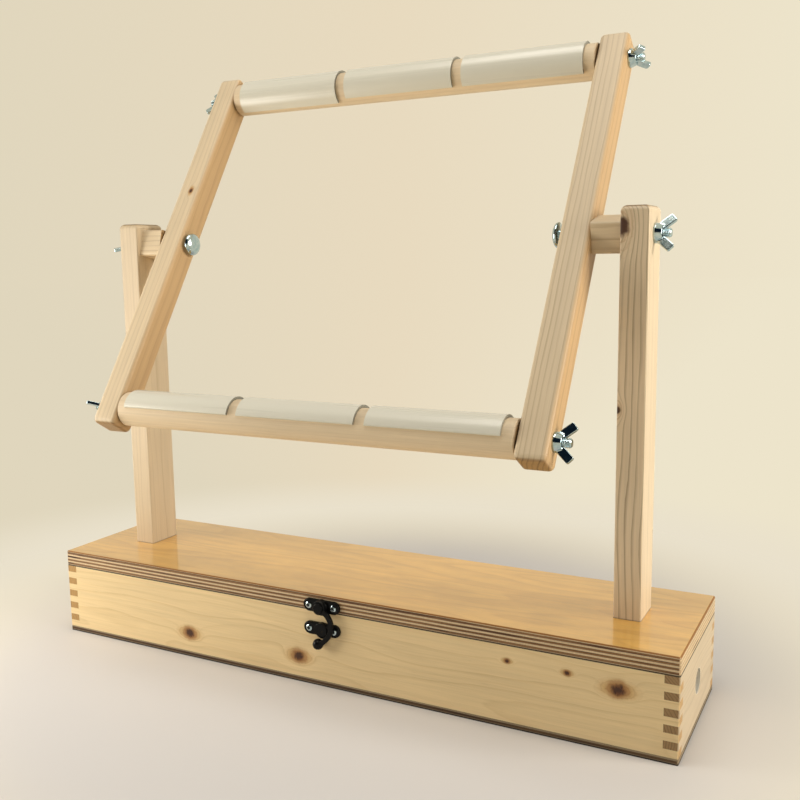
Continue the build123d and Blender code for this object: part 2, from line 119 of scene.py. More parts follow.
# Wood, in millimetres; a knot is its place along the grain, its place across it and its radius
BOX_FRONT_KNOTS = (
    (-117.6, -10.7, 3.6), (-20.6, -10.6, 3.8), (204.3, 10.4, 3.9), (134.6, 15.1, 1.3), (173.2, 14.8, 1.5),
)
BOX_BACK_KNOTS = ((88.0, -6.0, 4.6),)
RIGHT_POST_KNOTS = ((115.6, 8.0, 5.2), (5.0, 8.4, 2.2))
LEFT_BAR_KNOTS = ((43.5, -2.0, 1.6),)
KNOT_TAPER = 6.0
SIDE_HOLE_RADIUS = 8.0
DARK_END = 1.0
LID_PLIES = 9
BOTTOM_PLIES = 3
OPEN_JOINT_BELOW_TOP = 1.25

# Threaded and cast hardware
PITCH = 1.0 * MM
THREAD_DEPTH = 0.55 * MM
THREAD_TIP = 0.8 * MM
ROWS_PER_TURN = 8
STUD_PLAIN_SHARE = 0.42
BOLT_PLAIN_SHARE = 0.5
BOLT_RADIUS = 3.0 * MM
BOLT_NECK = 6.0 * MM
BOLT_NECK_LENGTH = 4.0 * MM
BOLT_NECK_SUNK = 1.0 * MM
SCREW_HEAD_HEIGHT = 0.8 * MM
RECESS_DEPTH = 0.6 * MM
SCREW_TURN_STEP = 0.7
STUD_COLUMNS = 28
BOLT_COLUMNS = 40
DOME_ROWS = 12
SCREW_COLUMNS = 48
SCREW_ROWS = 16
SHARP_ANGLE = radians(38)
CASTING = {"voxel": 0.24 * MM, "rounds": 5}
LATCH_CASTING = {"voxel": 0.16 * MM, "rounds": 3}

# Directions of the grain
ALONG_X = Euler((0, 0, 0))
ALONG_Y = Euler((0, 0, radians(90)))
ALONG_Z = Euler((0, radians(-90), 0))
ALONG_BAR = (Matrix.Rotation(-TILT, 3, "X") @ ALONG_Z.to_matrix()).to_euler()


# Node helpers
class Finish:
    """A material whose colour, roughness and relief are built from nodes."""

    def __init__(self, name, constants):
        self.material = bpy.data.materials.new(name)
        self.material.use_nodes = True
        self.tree = self.material.node_tree
        self.shader = self.tree.nodes["Principled BSDF"]
        for socket, value in constants.items():
            self.shader.inputs[socket].default_value = value

    def put(self, socket, value):
        """Sets a socket to a constant or links it to an output."""
        if isinstance(value, bpy.types.NodeSocket):
            self.tree.links.new(value, socket)
        elif socket.type == "RGBA":
            socket.default_value = (*value, 1.0)
        else:
            socket.default_value = value

    def use(self, socket, value):
        self.put(self.shader.inputs[socket], value)

    def add(self, kind, inputs, **settings):
        """A new node with its settings made and its inputs set or linked."""
        node = self.tree.nodes.new("ShaderNode" + kind)
        for name, value in settings.items():
            setattr(node, name, value)
        for socket, value in inputs.items():
            self.put(node.inputs[socket], value)
        return node

    def math(self, operation, a, b=0.0, c=0.0):
        return self.add("Math", {0: a, 1: b, 2: c}, operation=operation).outputs[0]

    def times(self, a, b):
        return self.math("MULTIPLY", a, b)

    def weigh(self, base, *patterns):
        """A base level plus each pattern times its weight."""
        for pattern, weight in patterns:
            base = self.math("MULTIPLY_ADD", pattern, weight, base)
        return base

    def vector(self, operation, a, b=(0.0, 0.0, 0.0)):
        node = self.add("VectorMath", {0: a, 1: b}, operation=operation)
        return node.outputs["Value" if operation in ("LENGTH", "DOT_PRODUCT") else "Vector"]

    def along(self, place, axis):
        """One of the three coordinates of a place."""
        return self.add("SeparateXYZ", {0: place}).outputs[axis]

    def noise(self, place, scale, seed=0.0, detail=3.0, roughness=0.55, output="Fac"):
        """Noise at a place, with its own scale along each axis."""
        spot = self.vector("ADD", self.vector("MULTIPLY", place, scale), (seed, 1.7 * seed, -seed))
        inputs = {"Vector": spot, "Scale": 1.0, "Detail": detail, "Roughness": roughness}
        return self.add("TexNoise", inputs).outputs[output]

    def span(self, value, low, high, start=0.0, end=1.0):
        """Smooth step from start at low to end at high."""
        inputs = {0: value, 1: low, 2: high, 3: start, 4: end}
        return self.add("MapRange", inputs, interpolation_type="SMOOTHSTEP").outputs[0]

    def ramp(self, value, *stops):
        """Grey curve through (position, level) stops."""
        node = self.add("ValToRGB", {"Fac": value})
        elements = node.color_ramp.elements
        while len(elements) < len(stops):
            elements.new(0.5)
        for element, (position, level) in zip(elements, stops):
            element.position = position
            element.color = (level, level, level, 1.0)
        return node.outputs["Color"]

    def mix(self, factor, a, b, blend="MIX"):
        return self.add("Mix", {0: factor, 6: a, 7: b}, data_type="RGBA", blend_type=blend).outputs[2]

    def brighten(self, colour, value):
        """The colour times a brightness."""
        return self.add("HueSaturation", {"Color": colour, "Value": value}).outputs["Color"]

    def coordinates(self):
        return self.add("TexCoord", {}).outputs["Object"]

    def normal(self):
        return self.add("TexCoord", {}).outputs["Normal"]

    def facing(self, axis):
        """How squarely the surface looks along an axis, one way or the other."""
        return self.math("ABSOLUTE", self.vector("DOT_PRODUCT", self.normal(), axis))

    def board_place(self, centre, turn):
        """Millimetres from the board's centre, with the grain along X."""
        inputs = {"Vector": self.coordinates(), "Location": centre, "Rotation": turn, "Scale": (MM, MM, MM)}
        return self.add("Mapping", inputs, vector_type="TEXTURE").outputs["Vector"]

    def relief(self, height, depth):
        """Bump of that depth in metres."""
        bump = self.add("Bump", {"Height": height, "Distance": depth, "Strength": 1.0})
        self.use("Normal", bump.outputs["Normal"])


# Wood
def axis_of(turn):
    return turn.to_matrix() @ Vector((1, 0, 0))


def knot_distance(finish, place, knot, stretch, front):
    """Distance from a knot's core in units of its radius; the knot tapers off behind the front, along Y."""
    along, across, radius = knot
    offset = finish.vector("SUBTRACT", place, (along, -front, across))
    share = (1 / stretch / radius, 1 / KNOT_TAPER / radius, 1 / radius)
    return finish.vector("LENGTH", finish.vector("MULTIPLY", offset, share))


def wobble(finish, place, scale, seed, reach):
    """Shift across the grain, by up to about half the reach each way."""
    shift = finish.noise(place, scale, seed, 2.0, 0.5, "Color")
    return finish.vector("MULTIPLY", finish.vector("SUBTRACT", shift, (0.5, 0.5, 0.5)), (0, reach, reach))


def ring_phase(finish, place, pith, spacing, sway, seed, distances):
    """Growth rings counted out from the pith line, swayed along the board and pushed aside by knots."""
    drift = wobble(finish, place, (0.0045, 0.022, 0.022), seed, sway)
    shimmer = wobble(finish, place, (0.03, 0.25, 0.25), seed + 3, 1.1)
    moved = finish.vector("ADD", finish.vector("ADD", place, drift), shimmer)
    across = finish.vector("MULTIPLY", finish.vector("SUBTRACT", moved, (0, *pith)), (0, 1, 1))
    phase = finish.math("DIVIDE", finish.vector("LENGTH", across), spacing)
    for distance in distances:
        fall = finish.math("EXPONENT", finish.times(finish.math("POWER", distance, 2.0), -0.3))
        phase = finish.math("ADD", phase, finish.times(fall, 2.4))
    return phase


def ring_lines(finish, phase, seed):
    """Late-wood lines: soft inside each ring, sharp outside it, uneven from ring to ring."""
    stops = ((0.0, 0.05), (0.6, 0.02), (0.86, 0.7), (0.94, 1.0), (1.0, 0.05))
    line = finish.ramp(finish.math("FRACT", phase), *stops)
    ring = finish.math("ADD", finish.math("FLOOR", phase), seed)
    strength = finish.add("TexWhiteNoise", {"W": ring}, noise_dimensions="1D").outputs["Value"]
    return finish.times(line, finish.weigh(0.4, (strength, 0.6)))


def knotted(finish, colour, place, knot, amber, front):
    """A knot over the colour: dark core in a brown disc and an amber ring, with arcs of grain round it."""
    ripple = finish.weigh(-0.3, (finish.noise(place, (0.28, 0.28, 0.28), 4.0, 3.0, 0.6), 0.6))
    near = finish.math("ADD", knot_distance(finish, place, knot, 1.2, front), ripple)
    far = finish.math("ADD", knot_distance(finish, place, knot, 2.0, front), ripple)
    colour = finish.mix(finish.span(far, 0.8, 2.0, amber, 0.0), colour, KNOT_RING)
    stops = ((0.0, 0.0), (0.5, 0.05), (0.85, 1.0), (1.0, 0.0))
    arcs = finish.ramp(finish.math("FRACT", finish.times(far, 2.1)), *stops)
    colour = finish.mix(finish.times(arcs, finish.span(far, 0.9, 2.2, 0.3, 0.0)), colour, KNOT_BROWN)
    colour = finish.mix(finish.span(near, 0.9, 2.0, amber, 0.0), colour, KNOT_BROWN)
    crack = finish.span(finish.noise(place, (0.9, 0.9, 0.35), 9.0, 2.0), 0.42, 0.6)
    paler = finish.times(finish.span(near, 0.2, 0.95, 0.0, amber), crack)
    disc = finish.mix(paler, KNOT_CORE_AND_VOID_SHADE, KNOT_BROWN)
    return finish.mix(finish.span(near, 0.6, 1.2, 0.96, 0.0), colour, disc)


def end_grained(finish, colour, lines, turn):
    """Darker wood with stronger rings where the grain is cut across."""
    end = finish.mix(1.0, colour, END_GRAIN, "MULTIPLY")
    end = finish.brighten(end, finish.weigh(1.12, (lines, -0.55)))
    return finish.mix(finish.span(finish.facing(axis_of(turn)), 0.55, 0.9), colour, end)


def bore_painted_light(finish, colour, place, bore):
    """Painted light: the wall of a round hole of that radius through the middle of the board is made pale, as if
    lit inside.
    """
    off_axis = finish.vector("LENGTH", finish.vector("MULTIPLY", place, (1, 0, 1)))
    return finish.mix(finish.span(off_axis, bore + 0.05, bore + 0.25, 1.0, 0.0), colour, HOLE_WALL_LIGHT)


def hearted_and_shaded(finish, colour, place, heart_and_shade_side):
    """Warmer, darker wood on the face at that Z: partly heartwood tone, partly painted shade where that face lies
    in shadow.
    """
    share = finish.times(finish.along(place, "Z"), 1 / heart_and_shade_side)
    return finish.mix(finish.span(share, 0.7, 1.0), colour, finish.mix(1.0, colour, HEARTWOOD_AND_SHADE, "MULTIPLY"))


def dark_ended(finish, colour, place, length):
    """Shade at both ends of a board of that length."""
    along = finish.math("ABSOLUTE", finish.along(place, "X"))
    return finish.brighten(colour, finish.span(along, length / 2 - DARK_END, length / 2, 1.0, 0.5))


def wood(name, centre, turn, tones, pith, spacing, sway, seed, contrast=0.8, shade=1.0, coat=0.12,
         knots=(), amber=0.7, front=0.0, bore=0.0, heart_and_shade_side=0.0, length=0.0):
    """Planed softwood board: rings round the pith, fibres, knots that grow from the front, end grain."""
    finish = Finish(name, {"Coat Weight": coat, "Coat Roughness": 0.3, "Specular IOR Level": 0.3})
    place = finish.board_place(centre, turn)
    distances = [knot_distance(finish, place, knot, 1.5, front) for knot in knots]
    lines = ring_lines(finish, ring_phase(finish, place, pith, spacing, sway, seed, distances), seed)
    fibre = finish.noise(place, (0.035, 1.5, 1.5), seed, 4.0, 0.65)
    streak = finish.noise(place, (0.008, 0.4, 0.4), seed + 5, 3.0, 0.6)
    cloud = finish.noise(place, (0.006, 0.04, 0.04), seed + 7, 3.0)
    fleck = finish.span(finish.noise(place, (0.12, 2.6, 2.6), seed + 11, 2.0), 0.64, 0.76)
    level = finish.weigh(0.68, (fibre, 0.22), (streak, 0.24), (cloud, 0.26), (fleck, -0.09))
    colour = finish.mix(finish.times(lines, contrast), tones["early"], tones["late"])
    colour = finish.brighten(colour, finish.times(level, shade))
    for knot in knots:
        colour = knotted(finish, colour, place, knot, amber, front)
    colour = end_grained(finish, colour, lines, turn)
    # Painted light: the hole's wall is made pale as if lit inside
    if bore:
        colour = bore_painted_light(finish, colour, place, bore)
    if heart_and_shade_side:
        colour = hearted_and_shaded(finish, colour, place, heart_and_shade_side)
    if length:
        colour = dark_ended(finish, colour, place, length)
    finish.use("Base Color", colour)
    finish.use("Roughness", finish.weigh(0.38, (fibre, 0.2)))
    finish.relief(finish.weigh(fibre, (lines, -0.5)), 0.05 * MM)
    return finish.material


def veneer(finish, place):
    """Rotary-cut birch face: broad flame figure, fine streaks and soft clouds."""
    broad = finish.noise(place, (0.0032, 0.02, 0.0), 5.0, 2.0, 0.45)
    stops = ((0.0, 0.15), (0.35, 0.0), (0.8, 0.75), (0.92, 1.0), (1.0, 0.2))
    bands = finish.ramp(finish.math("FRACT", finish.times(broad, 11.0)), *stops)
    streak = finish.noise(place, (0.016, 0.5, 0.0), 2.0, 4.0, 0.6)
    cloud = finish.noise(place, (0.009, 0.03, 0.0), 9.0, 2.0)
    mottle = finish.noise(place, (0.05, 0.09, 0.0), 15.0, 4.0, 0.65)
    colour = finish.mix(finish.times(bands, 0.4), VENEER["pale"], VENEER["deep"])
    return finish.brighten(colour, finish.weigh(0.42, (streak, 0.36), (cloud, 0.5), (mottle, 0.32))), streak


def ply_edge(finish, place, depth, plies, thickness, side_edge):
    """Cut edge of plywood: pale and dark plies in turn, with glue lines, dark patches and open voids painted dark
    as shade.
    """
    wander = finish.noise(place, (0.012, 0.012, 0.0), 3.0, 3.0)
    depth = finish.weigh(finish.math("ADD", depth, -0.2), (wander, 0.4))
    ply = finish.times(depth, plies / thickness)
    odd = finish.math("MODULO", finish.math("FLOOR", ply), 2.0)
    cut = finish.math("ABSOLUTE", finish.math("SUBTRACT", odd, side_edge))
    patch = finish.span(finish.noise(place, (0.02, 0.02, 0.6), 12.0, 3.0), 0.42, 0.66)
    dark = finish.mix(patch, PLY_END, PLY_DEEP)
    dark = finish.mix(finish.times(side_edge, 0.6), dark, PLY_SIDE)
    grain = finish.noise(place, (0.05, 0.05, 2.5), 8.0, 3.0)
    speck = finish.noise(place, (1.4, 1.4, 0.5), 6.0, 3.0, 0.7)
    colour = finish.mix(cut, PLY_SIDE, dark)
    colour = finish.brighten(colour, finish.weigh(0.4, (grain, 0.6), (speck, 0.6)))
    line = finish.ramp(finish.math("FRACT", ply), (0.0, 1.0), (0.13, 0.0), (0.87, 0.0), (1.0, 1.0))
    colour = finish.mix(finish.times(line, 0.6), colour, GLUE_LINE_AND_GAP_SHADE)
    # Painted shade: voids in the cut plies are painted near black as the shade inside them
    void = finish.span(finish.noise(place, (0.028, 0.028, 0.55), 14.0, 1.0), 0.70, 0.73)
    return finish.mix(finish.times(void, cut), colour, KNOT_CORE_AND_VOID_SHADE), line


def open_joint(finish, place, depth, thickness):
    """Stretches along the edge where the top veneer stands off the ply below it; the gap is painted dark as shade.
    """
    off = finish.math("ABSOLUTE", finish.math("ADD", depth, OPEN_JOINT_BELOW_TOP - thickness))
    gaping = finish.span(finish.noise(place, (0.006, 0.006, 0.0), 21.0, 2.0), 0.42, 0.52)
    return finish.times(finish.span(off, 0.1, 0.3, 1.0, 0.0), gaping)


def plywood(name, low, high, plies, shade, coat):
    """Birch plywood: veneer on its faces, varnished on the upper one, and plies along its edges."""
    finish = Finish(name, {"Coat Roughness": 0.04, "Coat IOR": 1.75, "Specular IOR Level": 0.3})
    place = finish.board_place((low + high) / 2, ALONG_X)
    thickness = (high.z - low.z) / MM
    depth = finish.math("ADD", finish.along(place, "Z"), thickness / 2)
    side_edge = finish.span(finish.facing((1, 0, 0)), 0.5, 0.8)
    upright = finish.facing((0, 0, 1))
    flat = finish.span(upright, 0.5, 0.68)
    level = finish.span(upright, 0.8, 0.97)
    edge, line = ply_edge(finish, place, depth, plies, thickness, side_edge)
    # Painted shade: the lowest millimetre of the edge goes dark for the shadow in the gap under the board
    edge = finish.brighten(edge, finish.span(depth, 0.7, 1.3, 0.1 * shade, shade))
    # Painted shade in the open joint under the top veneer
    edge = finish.mix(open_joint(finish, place, depth, thickness), edge, GLUE_LINE_AND_GAP_SHADE)
    face, streak = veneer(finish, place)
    # The rim goes dark near the bottom as well: painted shade in the same gap
    rim = finish.brighten(VENEER_RIM, finish.span(depth, 1.0, 2.0, 0.12, 1.0))
    finish.use("Base Color", finish.mix(flat, edge, finish.mix(level, rim, face)))
    finish.use("Coat Weight", finish.span(finish.along(finish.normal(), "Z"), 0.8, 0.97, 0.0, coat))
    finish.use("Roughness", finish.weigh(0.5, (streak, 0.2), (level, -0.25)))
    finish.relief(finish.weigh(finish.times(line, -1.0), (flat, streak)), 0.04 * MM)
    return finish.material


# Plastic and metal
def clip_plastic():
    """Cream extruded tube: satin, with faint draw lines along it; its end faces are painted darker as shade."""
    finish = Finish("clip_plastic", {"Coat Weight": 0.2, "Coat Roughness": 0.2})
    place = finish.board_place((0, 0, 0), ALONG_X)
    draw = finish.noise(place, (0.002, 0.3, 0.3), 2.0, 1.0)
    dust = finish.noise(place, (0.004, 0.2, 0.2), 5.0, 2.0)
    # Painted shade: faces that look along the roller are darkened
    colour = finish.mix(finish.span(finish.facing((1, 0, 0)), 0.6, 0.9), PLASTIC, PLASTIC_END_SHADE)
    finish.use("Base Color", finish.brighten(colour, finish.weigh(0.97, (dust, 0.06))))
    finish.use("Roughness", finish.weigh(0.24, (dust, 0.08)))
    finish.relief(draw, 0.01 * MM)
    return finish.material


def zinc():
    """Bright blue-white zinc plate over cast and rolled steel."""
    finish = Finish("zinc", {"Metallic": 1.0})
    place = finish.board_place((0, 0, 0), ALONG_X)
    bloom = finish.noise(place, (0.35, 0.35, 0.35), 3.0, 4.0, 0.6)
    pits = finish.noise(place, (2.2, 2.2, 2.2), 6.0, 3.0, 0.6)
    tone = finish.mix(finish.span(bloom, 0.35, 0.65), ZINC, ZINC_BLOOM)
    finish.use("Base Color", finish.brighten(tone, finish.weigh(0.88, (pits, 0.2))))
    finish.use("Roughness", finish.weigh(0.05, (bloom, 0.12)))
    finish.relief(pits, 0.02 * MM)
    return finish.material


def recess_shade_finish():
    """Painted shade: dark dull metal in the bottom of a screw's recess, darkened for the shade that falls there.
    """
    finish = Finish("recess_shade_finish", {"Metallic": 0.6})
    grit = finish.noise(finish.board_place((0, 0, 0), ALONG_X), (3.0, 3.0, 3.0), 8.0, 3.0)
    finish.use("Base Color", finish.brighten(finish.mix(grit, RECESS_SHADE, BLACK), 0.8))
    finish.use("Roughness", finish.weigh(0.45, (grit, 0.3)))
    return finish.material


def black_lacquer():
    """Glossy black lacquer on cast metal, rubbed thin on its edges."""
    finish = Finish("black_lacquer", {"Coat Weight": 0.1, "Coat Roughness": 0.03, "Specular IOR Level": 0.07})
    place = finish.board_place((0, 0, 0), ALONG_X)
    bloom = finish.noise(place, (0.5, 0.5, 0.5), 4.0, 4.0, 0.6)
    point = finish.add("NewGeometry", {}).outputs["Pointiness"]
    rub = finish.times(finish.span(point, 0.53, 0.60), finish.span(bloom, 0.35, 0.6))
    tone = finish.mix(finish.times(rub, 0.5), BLACK, WORN_EDGE)
    finish.use("Base Color", finish.brighten(tone, finish.weigh(0.55, (bloom, 0.9))))
    finish.use("Roughness", finish.weigh(0.1, (bloom, 0.12)))
    finish.relief(bloom, 0.03 * MM)
    return finish.material


# Finishes of the nodes
def centre_of(node):
    low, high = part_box(node)
    return (low + high) / 2


def half_size(node):
    """Half of the node's box, in millimetres."""
    low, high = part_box(node)
    return (high - low) / 2 / MM


def dress(node, material):
    mesh = frame["nodes"][node].data
    mesh.materials.clear()
    mesh.materials.append(material)


def dress_box():
    long_board = dict(tones=BOX_PINE, turn=ALONG_X, contrast=0.42)
    short_board = dict(turn=ALONG_Y, spacing=1.8, sway=14, contrast=0.5)
    front = dict(pith=(46, -26), spacing=3.4, sway=26, seed=2, knots=BOX_FRONT_KNOTS)
    back = dict(pith=(-52, 14), spacing=3.6, sway=22, seed=17, knots=BOX_BACK_KNOTS)
    left = dict(tones=BOX_PINE, pith=(40, 10), seed=23)
    right = dict(tones=PINE, pith=(36, -12), seed=31, shade=0.8, bore=SIDE_HOLE_RADIUS)
    boards = {
        "box_front_panel": long_board | front,
        "box_back_panel": long_board | back,
        "box_left_panel": short_board | left,
        "box_right_panel": short_board | right,
    }
    for node, grain in boards.items():
        dress(node, wood(node, centre_of(node), front=half_size(node).y, **grain))
    lid = plywood("lid_plywood", *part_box("lid_panel"), plies=LID_PLIES, shade=0.9, coat=1.0)
    bottom = plywood("bottom_plywood", *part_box("box_bottom"), plies=BOTTOM_PLIES, shade=0.4, coat=0.2)
    dress("lid_panel", lid)
    dress("box_bottom", bottom)


def dress_posts():
    posts = {
        "left_post": dict(tones=PINE, pith=(18, 46), spacing=2.6, sway=5, seed=41, contrast=0.45, shade=0.9),
        "right_post": dict(tones=RINGED_PINE, pith=(30, -34), spacing=2.3, sway=12, seed=53, contrast=0.85,
                           amber=0.1, knots=RIGHT_POST_KNOTS),
    }
    for node, grain in posts.items():
        half = half_size(node)
        dress(node, wood(node, centre_of(node), ALONG_Z, front=half.y, length=2 * half.z, **grain))


def dress_bars():
    """Square side bars, warmer and darker on their right faces, partly as painted shade, and the spacer blocks
    beside them.
    """
    bars = {
        "left_side_bar": dict(pith=(24, 40), spacing=3.2, sway=6, seed=61, contrast=0.4,
                              knots=LEFT_BAR_KNOTS),
        "right_side_bar": dict(pith=(20, -52), spacing=3.0, sway=7, seed=73),
    }
    for node, grain in bars.items():
        half = half_size(node).x
        dress(node, wood(node, centre_of(node), ALONG_BAR, PINE, front=half, heart_and_shade_side=-half, **grain))
    for number, side in enumerate(SIDES):
        node = f"{side}_spacer_block"
        grain = dict(pith=(30, 26), spacing=2.6, sway=5, seed=83 + number, contrast=0.9)
        dress(node, wood(node, centre_of(node), ALONG_X, PINE, **grain))


def dress_rollers(plastic):
    for number, level in enumerate(LEVELS):
        node = f"{level}_roller"
        grain = dict(pith=(3, -70), spacing=2.4, sway=7, seed=91 + number, contrast=0.4, coat=0.0)
        dress(node, wood(node, centre_of(node), ALONG_X, DOWEL, length=2 * half_size(node).x, **grain))
    for node, slot in SLOT_OF.items():
        if slot == "clip_plastic":
            dress(node, plastic)


# Hardware
def soften(node, voxel, rounds):
    """Cast look: the node's own form with every edge rounded."""
    piece = frame["nodes"][node]
    remesh = piece.modifiers.new("cast", "REMESH")
    remesh.mode = "VOXEL"
    remesh.voxel_size = voxel
    remesh.use_smooth_shade = True
    smooth = piece.modifiers.new("edges", "SMOOTH")
    smooth.factor = 0.5
    smooth.iterations = rounds


def piece_from(bm, name, materials, body):
    mesh = bpy.data.meshes.new(name)
    bmesh.ops.recalc_face_normals(bm, faces=bm.faces)
    bm.to_mesh(mesh)
    bm.free()
    mesh.polygons.foreach_set("use_smooth", [True] * len(mesh.polygons))
    mesh.set_sharp_from_angle(angle=SHARP_ANGLE)
    for material in materials:
        mesh.materials.append(material)
    piece = bpy.data.objects.new(name, mesh)
    bpy.context.scene.collection.objects.link(piece)
    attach(piece, body)
    return piece


def turned(bm, rows, columns, place):
    """Closed solid from rows of (height, radius at an angle) along an axis, set in place."""
    angles = [tau * i / columns for i in range(columns)]
    loops = []
    for height, radius in rows:
        points = [(radius(angle) * cos(angle), radius(angle) * sin(angle), height) for angle in angles]
        loops.append([bm.verts.new(place @ Vector(point)) for point in points])
    for lower, upper in zip(loops, loops[1:]):
        for i in range(columns):
            j = (i + 1) % columns
            bm.faces.new((lower[i], lower[j], upper[j], upper[i]))
    bm.faces.new(loops[0][::-1])
    bm.faces.new(loops[-1])


def round_row(height, radius):
    return height, lambda angle: radius


def thread_rows(start, end, radius):
    """Helical thread with a rounded form that fades out at the tip."""
    steps = max(int((end - start) / PITCH * ROWS_PER_TURN), ROWS_PER_TURN)
    rows = []
    for step in range(steps + 1):
        height = start + (end - start) * step / steps
        tip = max(0.0, height - (end - THREAD_TIP))

        def helix(angle, height=height, tip=tip):
            turn = (height / PITCH - angle / tau) % 1.0
            groove = THREAD_DEPTH * (0.5 + 0.5 * cos(tau * turn))
            return min(radius - groove, radius - tip)

        rows.append((height, helix))
    return rows


def lying_along(axis, origin):
    """Place whose Z points along the axis."""
    return Matrix.Translation(origin) @ Vector(axis).to_track_quat("Z", "X").to_matrix().to_4x4()


def stud_rows(length, radius):
    """Hanger bolt: plain end in the wood, thread on the outer end."""
    plain = STUD_PLAIN_SHARE * length
    rows = [round_row(0.0, 0.35 * radius), round_row(0.8 * radius, radius), round_row(plain, radius)]
    return rows + thread_rows(plain + 0.2 * MM, length, radius)


def bolt_rows(length, head_radius, head_height):
    """Carriage bolt from the top of its domed head to the tip: head, square neck, shank, thread."""
    dome = [round_row(0.0, 0.02 * head_radius)]
    for step in range(1, DOME_ROWS + 1):
        angle = step / DOME_ROWS * pi / 2
        dome.append(round_row(0.86 * head_height * (1 - cos(angle)), head_radius * sin(angle) ** 0.9))
    rim = [round_row(head_height * 0.96, head_radius), round_row(head_height, 0.965 * head_radius)]

    def square(angle):
        return min(BOLT_NECK / 2 / max(abs(cos(angle)), abs(sin(angle))), 0.62 * BOLT_NECK)

    neck_end = head_height + BOLT_NECK_LENGTH
    neck = [(head_height + 0.02 * MM, square), (neck_end, square)]
    plain_end = BOLT_PLAIN_SHARE * length
    shank = [round_row(neck_end + 0.3 * MM, BOLT_RADIUS), round_row(plain_end, BOLT_RADIUS)]
    return dome + rim + neck + shank + thread_rows(plain_end + 0.2 * MM, length, BOLT_RADIUS)


def make_stud(node, name, along, sign, metal):
    """Threaded stud in place of a plain one; it leaves the wood along an axis, by number, with that sign."""
    low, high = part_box(node)
    across = (along + 1) % 3
    radius = (high[across] - low[across]) / 2
    start = (low + high) / 2
    start[along] = low[along] if sign > 0 else high[along]
    direction = Vector()
    direction[along] = sign
    bm = bmesh.new()
    turned(bm, stud_rows(high[along] - low[along], radius), STUD_COLUMNS, lying_along(direction, start))
    piece = piece_from(bm, name, [metal], BODY_OF[node])
    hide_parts(node)


def make_studs(metal):
    for level in LEVELS:
        for side, sign in SIDES.items():
            make_stud(f"{level}_{side}_stud", f"{level}_{side}_threaded_stud", 0, sign, metal)
    for side in SIDES:
        make_stud(f"{side}_post_stud", f"{side}_post_threaded_stud", 2, -1, metal)


def make_bolts(metal):
    for side, sign in SIDES.items():
        node = f"{side}_pivot_bolt"
        low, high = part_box(node)
        bar_low, bar_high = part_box(f"{side}_side_bar")
        start = (low + high) / 2
        start.x = low.x if sign > 0 else high.x
        proud = abs((bar_low.x if sign > 0 else bar_high.x) - start.x)
        head_height = proud - BOLT_NECK_LENGTH + BOLT_NECK_SUNK
        rows = bolt_rows(high.x - low.x, (high.y - low.y) / 2, head_height)
        bm = bmesh.new()
        turned(bm, rows, BOLT_COLUMNS, lying_along((sign, 0, 0), start))
        piece = piece_from(bm, f"{side}_carriage_bolt", [metal], BODY_OF[node])
        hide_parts(node)


def connected(vert, left):
    """All vertices joined to one by edges, taken out of those left."""
    found = {vert}
    front = [vert]
    while front:
        vert = front.pop()
        for edge in vert.link_edges:
            other = edge.other_vert(vert)
            if other in left:
                left.discard(other)
                found.add(other)
                front.append(other)
    return found


def islands(node):
    """Boxes of the separate solids in a node."""
    bm = bmesh.new()
    bm.from_mesh(frame["nodes"][node].data)
    bmesh.ops.remove_doubles(bm, verts=bm.verts, dist=0.001 * MM)
    left = set(bm.verts)
    boxes = []
    while left:
        found = connected(left.pop(), left)
        low = Vector(min(v.co[i] for v in found) for i in range(3))
        high = Vector(max(v.co[i] for v in found) for i in range(3))
        boxes.append((low, high))
    bm.free()
    return sorted(boxes, key=lambda box: tuple(box[0]))


def cross_recess(x, y, size):
    """Depth of a blunt cross recess, 0 to 1, with sloped walls."""
    arm, reach, slope = 0.24 * size, 0.5 * size, 0.14 * size
    near = min(max(abs(x) - arm, abs(y) - reach), max(abs(y) - arm, abs(x) - reach))
    return min(max(0.5 - near / slope, 0.0), 1.0)


def screw(bm, place, head_radius, length, turn):
    """Wood screw along Z: domed head with a cross recess painted dark as shade, seat at zero, pointed shank below
    it.
    """
    angles = [tau * i / SCREW_COLUMNS for i in range(SCREW_COLUMNS)]
    rows = []
    depths = []
    for step in range(1, SCREW_ROWS + 1):
        r = head_radius * step / SCREW_ROWS
        dome = SCREW_HEAD_HEIGHT * (1 - (r / head_radius) ** 2.6 * 0.8)
        depth = [cross_recess(r * cos(a + turn), r * sin(a + turn), head_radius) for a in angles]
        rows.append([(r * cos(a), r * sin(a), dome - RECESS_DEPTH * d) for a, d in zip(angles, depth)])
        depths.append(depth)
    for z, share in ((0.0, 1.0), (-0.02 * MM, 0.48), (-0.8 * length, 0.42), (-length, 0.05)):
        r = share * head_radius
        rows.append([(r * cos(a), r * sin(a), z) for a in angles])
        depths.append([0.0] * SCREW_COLUMNS)
    loops = [[bm.verts.new(place @ Vector(point)) for point in row] for row in rows]
    for inner, outer, depth in zip(loops, loops[1:], depths):
        for i in range(SCREW_COLUMNS):
            j = (i + 1) % SCREW_COLUMNS
            face = bm.faces.new((inner[i], outer[i], outer[j], inner[j]))
            # Painted shade: faces deep in the recess, and the small cap at its centre, take the dark second
            # material
            face.material_index = int(depth[i] > 0.3)
    bm.faces.new(loops[0]).material_index = 1
    bm.faces.new(loops[-1][::-1])


